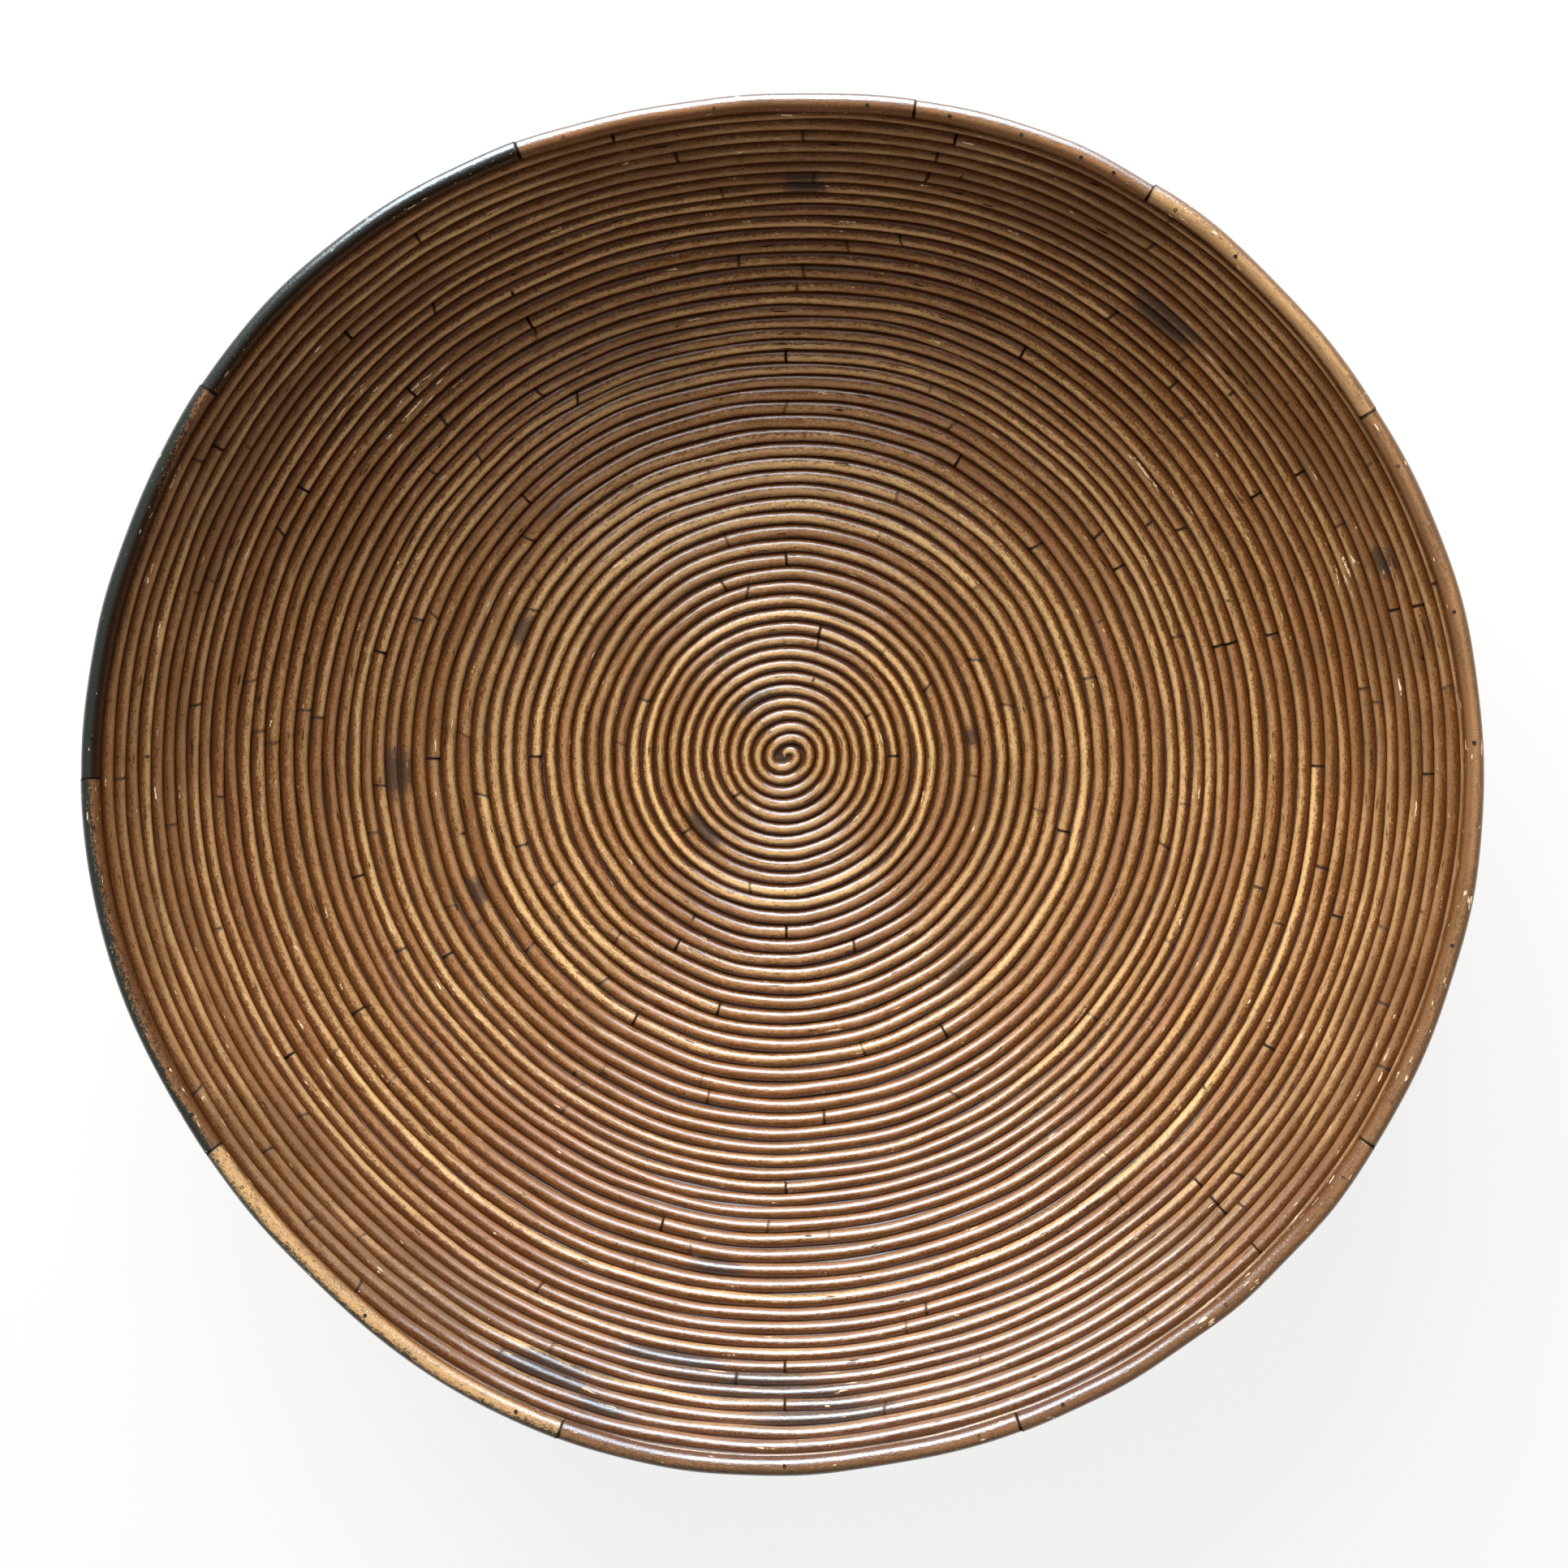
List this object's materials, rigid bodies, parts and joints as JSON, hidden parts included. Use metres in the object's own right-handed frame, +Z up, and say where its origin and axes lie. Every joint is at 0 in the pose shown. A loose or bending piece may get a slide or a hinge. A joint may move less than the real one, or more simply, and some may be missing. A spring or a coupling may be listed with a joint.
{
  "type": "pencil reed bowl",
  "caption": "Wide shallow bowl wound from a spiral of varnished round reed, with a flat standing base and a level reed rim.",
  "frame": {"origin": "middle of the flat standing base, on the table", "axes": "+Z up through the middle of the coil; +X to the right and +Y to the top of the picture"},
  "size_m": [0.5082, 0.5082, 0.118],
  "materials": {
    "coil_reed": "gloss varnish, golden brown",
    "rim_reed": "gloss varnish, worn dark brown"
  },
  "bodies": {
    "root": {"coil_reed_01": "coil_reed", "coil_reed_02": "coil_reed", "coil_reed_03": "coil_reed", "coil_reed_04": "coil_reed", "coil_reed_05": "coil_reed", "coil_reed_06": "coil_reed", "coil_reed_07": "coil_reed", "coil_reed_08": "coil_reed", "coil_reed_09": "coil_reed", "coil_reed_10": "coil_reed", "coil_reed_11": "coil_reed", "coil_reed_12": "coil_reed", "coil_reed_13": "coil_reed", "coil_reed_14": "coil_reed", "coil_reed_15": "coil_reed", "coil_reed_16": "coil_reed", "coil_reed_17": "coil_reed", "coil_reed_18": "coil_reed", "coil_reed_19": "coil_reed", "coil_reed_20": "coil_reed", "coil_reed_21": "coil_reed", "coil_reed_22": "coil_reed", "coil_reed_23": "coil_reed", "coil_reed_24": "coil_reed", "coil_reed_25": "coil_reed", "coil_reed_26": "coil_reed", "coil_reed_27": "coil_reed", "coil_reed_28": "coil_reed", "coil_reed_29": "coil_reed", "coil_reed_30": "coil_reed", "coil_reed_31": "coil_reed", "coil_reed_32": "coil_reed", "coil_reed_33": "coil_reed", "coil_reed_34": "coil_reed", "coil_reed_35": "coil_reed", "coil_reed_36": "coil_reed", "coil_reed_37": "coil_reed", "coil_reed_38": "coil_reed", "coil_reed_39": "coil_reed", "coil_reed_40": "coil_reed", "coil_reed_41": "coil_reed", "coil_reed_42": "coil_reed", "coil_reed_43": "coil_reed", "coil_reed_44": "coil_reed", "coil_reed_45": "coil_reed", "coil_reed_46": "coil_reed", "coil_reed_47": "coil_reed", "coil_reed_48": "coil_reed", "rim_reed_01": "rim_reed", "rim_reed_02": "rim_reed", "rim_reed_03": "rim_reed", "rim_reed_04": "rim_reed", "rim_reed_05": "rim_reed", "rim_reed_06": "rim_reed", "rim_reed_07": "rim_reed", "rim_reed_08": "rim_reed", "rim_reed_09": "rim_reed", "rim_reed_10": "rim_reed"}
  },
  "joints": []
}
